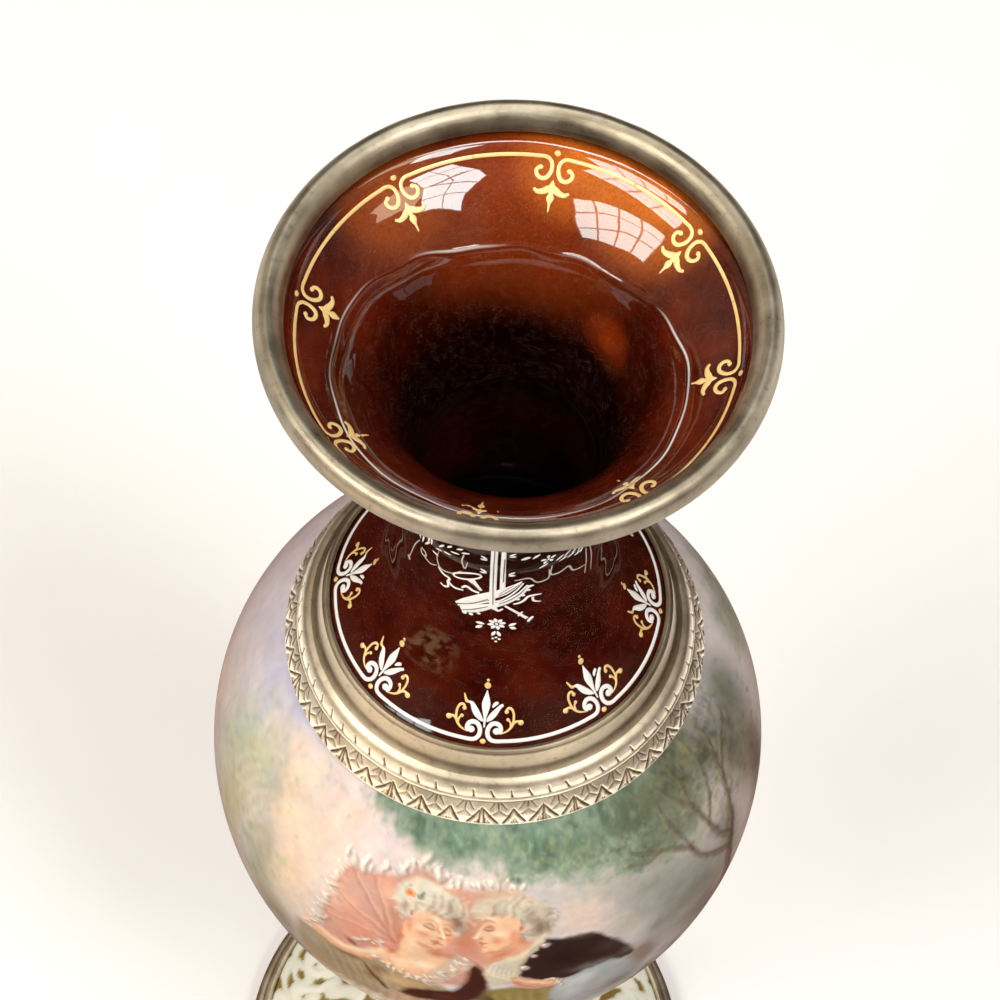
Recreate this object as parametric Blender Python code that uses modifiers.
"""Enamelled copper vase with silver-gilt mounts, standing on its foot.

Every piece is turned about Z. The origin is the middle of the underside of the foot.
Stations are (radius, height) pairs in millimetres, read from the top of a wall down.
"""

import math

import bmesh
import bpy

MM = 0.001
STEPS = 40
GAP = 0.3
SEAT_GAP = 0.4
MERGE = 0.00002

# Driving dimensions, in millimetres.
RIM_RADIUS = 35.0
RIM_HEIGHT = 267.75
BODY_RADIUS = 44.66
BODY_WIDEST_HEIGHT = 143.6
BODY_SHOULDER_RISE = 50.4
BODY_LOWER_REACH = 70.0
BODY_LOWER_POWER = 0.736
BODY_BASE_HEIGHT = 80.0
BODY_OPENING_ANGLE = 54.4
STEM_TOP_HEIGHT = 66.0
FOOT_RADIUS = 43.0
NECK_WALL = 1.4
BODY_WALL = 1.6
FOOT_WALL = 1.4

# Half-round bead of the mouth rim: middle of its section and how far it swells each way.
RIM_BEAD_RADIUS = 33.25
RIM_BEAD_HALF_HEIGHT = 2.275

# Points on each curve that is worked out by a formula.
BEAD_POINTS = 7
BODY_UPPER_POINTS = 7
BODY_LOWER_POINTS = 7

# The wide mouth is set out by its inner face, and the skirt by its outer face.
MOUTH_INNER = [
    (31.2, 266.4),
    (30.1, 264.3),
    (28.8, 263.0),
    (26.4, 261.5),
    (23.5, 259.1),
    (21.1, 256.6),
    (19.2, 253.8),
    (17.2, 249.6),
    (15.3, 243.2),
    (13.7, 233.5),
    (13.05, 224.0),
]
SKIRT_OUTER = [
    (14.45, 224.0),
    (14.7, 216.5),
    (15.5, 208.8),
    (17.0, 202.0),
    (19.1, 197.4),
    (22.0, 193.9),
    (24.6, 191.5),
    (26.2, 190.25),
]
FOOT_OUTER = [
    (8.6, STEM_TOP_HEIGHT),
    (7.9, 58.0),
    (8.3, 48.0),
    (10.4, 37.0),
    (14.0, 28.0),
    (19.0, 20.6),
    (24.5, 15.4),
    (30.0, 11.6),
    (35.2, 8.4),
    (39.8, 5.0),
]

# Low rocaille relief on the foot: scrolled lobes between two plain borders.
RELIEF_LOBES = 8
RELIEF_HEIGHT = 0.8
RELIEF_INNER_RADIUS = 10.0
RELIEF_OUTER_RADIUS = 39.0
RELIEF_LEAN = 1.2

COLOURS = {
    "silver_gilt": ((0.60, 0.52, 0.38), 0.32, 1.0),
    "brown_enamel": ((0.13, 0.02, 0.01), 0.10, 0.0),
    "painted_enamel": ((0.62, 0.58, 0.50), 0.28, 0.0),
    "foot_enamel": ((0.78, 0.76, 0.66), 0.25, 0.0),
}


def clear_scene():
    for item in list(bpy.data.objects):
        bpy.data.objects.remove(item, do_unlink=True)


def make_collection(name):
    collection = bpy.data.collections.new(name)
    bpy.context.scene.collection.children.link(collection)
    return collection


def make_material(name):
    """A Principled material from the table of colours."""
    colour, roughness, metallic = COLOURS[name]
    material = bpy.data.materials.new(name)
    material.use_nodes = True
    shader = material.node_tree.nodes["Principled BSDF"]
    shader.inputs["Base Color"].default_value = (*colour, 1.0)
    shader.inputs["Roughness"].default_value = roughness
    shader.inputs["Metallic"].default_value = metallic
    material.diffuse_color = (*colour, 1.0)
    return material


def offset(path, distance):
    """The path moved square to itself. Where it runs down, a positive distance is outwards."""
    moved = []
    last = len(path) - 1
    for index, (radius, height) in enumerate(path):
        before = path[max(index - 1, 0)]
        after = path[min(index + 1, last)]
        run = after[0] - before[0]
        drop = after[1] - before[1]
        length = math.hypot(run, drop)
        moved.append((radius - drop / length * distance, height + run / length * distance))
    return moved


def thinned(path):
    """Every other station, with both ends, for a face that hardly shows."""
    return path[:-1:2] + path[-1:]


def ellipse(centre, radii, start, end, count):
    """Points on an ellipse in the radius-height plane, from one angle in degrees to another."""
    points = []
    for index in range(count):
        angle = math.radians(start + (end - start) * index / (count - 1))
        radius = centre[0] + radii[0] * math.cos(angle)
        points.append((radius, centre[1] + radii[1] * math.sin(angle)))
    return points


def turned(name, profile, material, collection, closed=True):
    """One solid of revolution. The profile runs down its outer side and, if closed, back up inside."""
    mesh = bpy.data.meshes.new(name)
    points = [(radius * MM, 0.0, height * MM) for radius, height in profile]
    edges = [(index, index + 1) for index in range(len(points) - 1)]
    if closed:
        edges.append((len(points) - 1, 0))
    mesh.from_pydata(points, edges, [])
    piece = bpy.data.objects.new(name, mesh)
    collection.objects.link(piece)
    mesh.materials.append(material)
    screw = piece.modifiers.new("turn", "SCREW")
    screw.axis = "Z"
    screw.angle = math.tau
    screw.steps = STEPS
    screw.render_steps = STEPS
    screw.use_smooth_shade = True
    screw.use_merge_vertices = True
    screw.merge_threshold = MERGE
    return piece


def body_height(radius):
    """Height of the body's outer face above its widest ring."""
    share = radius / BODY_RADIUS
    return BODY_WIDEST_HEIGHT + BODY_SHOULDER_RISE * math.sqrt(1.0 - share * share)


def body_radius_below(height):
    """Radius of the body's outer face below its widest ring."""
    share = (BODY_WIDEST_HEIGHT - height) / BODY_LOWER_REACH
    return BODY_RADIUS * (1.0 - share * share) ** BODY_LOWER_POWER


def body_wall():
    """The body's outer face, from its top opening down to the edge of its flat base."""
    centre = (0.0, BODY_WIDEST_HEIGHT)
    radii = (BODY_RADIUS, BODY_SHOULDER_RISE)
    wall = ellipse(centre, radii, BODY_OPENING_ANGLE, 0.0, BODY_UPPER_POINTS)
    step = (BODY_WIDEST_HEIGHT - BODY_BASE_HEIGHT) / BODY_LOWER_POINTS
    for index in range(BODY_LOWER_POINTS):
        height = BODY_WIDEST_HEIGHT - step * (index + 1)
        wall.append((body_radius_below(height), height))
    return wall


def make_mouth_rim(material, collection):
    """Half-round rolled band that grips the top edge of the neck."""
    centre = (RIM_BEAD_RADIUS, RIM_HEIGHT)
    radii = (RIM_RADIUS - RIM_BEAD_RADIUS, RIM_BEAD_HALF_HEIGHT)
    bead = ellipse(centre, radii, 90.0, -90.0, BEAD_POINTS)
    grip = [(32.75, 265.45), (32.68, 266.1), (31.55, 266.95), (31.0, 266.8), (30.9, 266.95)]
    return turned("mouth_rim", bead + grip, material, collection)


def make_neck(material, collection):
    """Double trumpet: wide mouth, narrow waist and spreading skirt, open right through."""
    outer = thinned(offset(MOUTH_INNER, NECK_WALL))[:-1] + SKIRT_OUTER
    inner = MOUTH_INNER[:-1] + thinned(offset(SKIRT_OUTER, -NECK_WALL))
    return turned("neck", outer + inner[::-1], material, collection)


def make_shoulder_collar(material, collection):
    """Moulded mount between neck and body: bead, cove, round band and engraved border."""
    shown = [
        (25.45, 191.2),
        (25.95, 191.55),
        (26.6, 191.1),
        (27.0, 189.4),
        (27.5, 187.7),
        (28.3, 186.9),
        (29.2, 186.3),
        (30.0, 184.9),
        (30.4, 183.5),
        (31.5, 181.6),
        (32.41, 179.27),
    ]
    seat = [(radius, body_height(radius) + SEAT_GAP) for radius in (32.3, 28.8, 25.4)]
    ledge = [(25.4, 188.7), (26.46, 190.05), (26.4, 190.5)]
    return turned("shoulder_collar", shown + seat + ledge, material, collection)


def make_body(material, collection):
    """Ovoid vessel with a closed flat base and a round opening at the top."""
    outer = body_wall()
    inner = offset(outer, -BODY_WALL)
    floor = (0.0, BODY_BASE_HEIGHT + BODY_WALL)
    inner[-1] = (inner[-1][0] - BODY_WALL / 2.0, floor[1])
    profile = [floor] + inner[::-1] + outer + [(0.0, BODY_BASE_HEIGHT)]
    return turned("body", profile, material, collection, closed=False)


def make_lower_mount(material, collection):
    """Plain cast spool that holds the base of the body and stands on the stem of the foot."""
    floor_height = BODY_BASE_HEIGHT - GAP
    foot_end = STEM_TOP_HEIGHT + SEAT_GAP
    base_edge = (body_radius_below(BODY_BASE_HEIGHT) - SEAT_GAP, floor_height)
    cup = [(body_radius_below(height) + SEAT_GAP, height) for height in (81.5, 85.0)]
    shown = [
        (18.7, 85.2),
        (18.9, 84.2),
        (16.6, 80.6),
        (12.6, 77.6),
        (10.6, 74.4),
        (12.2, 72.6),
        (12.2, 71.2),
        (10.2, 69.6),
        (9.3, foot_end),
    ]
    profile = [(0.0, floor_height), base_edge] + cup + shown + [(0.0, foot_end)]
    return turned("lower_mount", profile, material, collection, closed=False)


def relief_at(angle, radius):
    """Height of the rocaille relief: lobes that lean round the foot, flat at both borders."""
    if not RELIEF_INNER_RADIUS < radius < RELIEF_OUTER_RADIUS:
        return 0.0
    along = (radius - RELIEF_INNER_RADIUS) / (RELIEF_OUTER_RADIUS - RELIEF_INNER_RADIUS)
    swell = math.sin(math.pi * along)
    lean = RELIEF_LEAN * math.sin(math.tau * along)
    return RELIEF_HEIGHT * swell * (0.5 + 0.5 * math.cos(RELIEF_LOBES * angle + lean))


def make_foot(material, collection):
    """Trumpet foot, open underneath, with low lobes of relief on its outer face."""
    inner = thinned(offset(FOOT_OUTER, -FOOT_WALL))
    smooth = turned("foot", FOOT_OUTER + inner[::-1], material, collection)
    graph = bpy.context.evaluated_depsgraph_get()
    mesh = bpy.data.meshes.new_from_object(smooth.evaluated_get(graph))
    outer_rings = {(round(radius, 2), round(height, 2)) for radius, height in FOOT_OUTER}
    form = bmesh.new()
    form.from_mesh(mesh)
    for vertex in form.verts:
        radius = math.hypot(vertex.co.x, vertex.co.y) / MM
        if (round(radius, 2), round(vertex.co.z / MM, 2)) in outer_rings:
            vertex.co.z += relief_at(math.atan2(vertex.co.y, vertex.co.x), radius) * MM
    form.to_mesh(mesh)
    form.free()
    bpy.data.objects.remove(smooth, do_unlink=True)
    foot = bpy.data.objects.new("foot", mesh)
    collection.objects.link(foot)
    return foot


def make_foot_rim(material, collection):
    """Flat-bottomed band round the edge of the foot, which the vase stands on."""
    profile = [
        (40.2, 5.9),
        (42.1, 4.4),
        (42.9, 3.2),
        (FOOT_RADIUS, 1.2),
        (42.5, 0.0),
        (37.6, 0.0),
        (37.6, 2.0),
        (39.6, 3.4),
        (40.3, 4.9),
        (39.6, 5.6),
    ]
    return turned("foot_rim", profile, material, collection)


def main():
    clear_scene()
    parts = make_collection("enamel_vase")
    metal = make_material("silver_gilt")
    make_mouth_rim(metal, parts)
    make_neck(make_material("brown_enamel"), parts)
    make_shoulder_collar(metal, parts)
    make_body(make_material("painted_enamel"), parts)
    make_lower_mount(metal, parts)
    make_foot(make_material("foot_enamel"), parts)
    make_foot_rim(metal, parts)


main()
